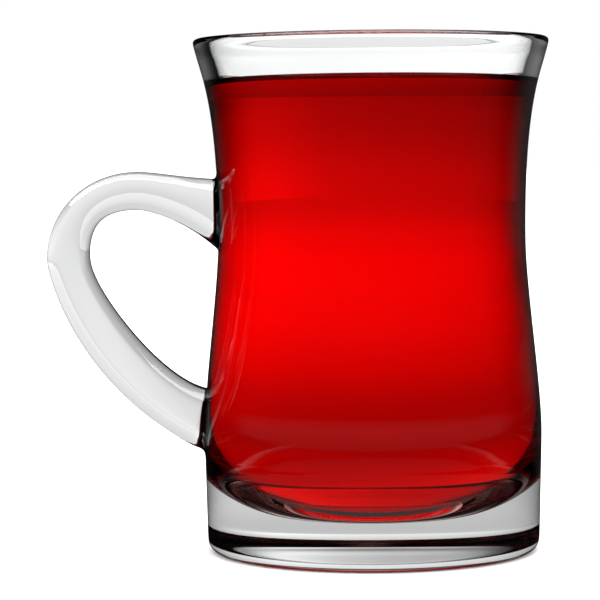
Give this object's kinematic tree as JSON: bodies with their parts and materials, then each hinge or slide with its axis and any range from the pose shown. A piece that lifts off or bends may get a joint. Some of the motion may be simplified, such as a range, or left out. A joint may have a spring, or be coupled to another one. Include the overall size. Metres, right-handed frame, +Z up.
{
  "type": "turkish tea glass with tea",
  "caption": "Waisted clear glass cup with a moulded side handle, filled with red tea almost to the brim.",
  "frame": {"origin": "on the table under the axis of the glass, in the plane of its foot ring", "axes": "+Z up along the axis of the glass, -X out through the handle, Y across the handle"},
  "size_m": [0.0933, 0.066, 0.095],
  "materials": {
    "clear_glass": "polished, colourless, with rounded moulded edges",
    "tea": "clear deep red liquid with a smooth still surface"
  },
  "bodies": {
    "root": {"glass": "clear_glass", "tea": "tea"}
  },
  "joints": []
}
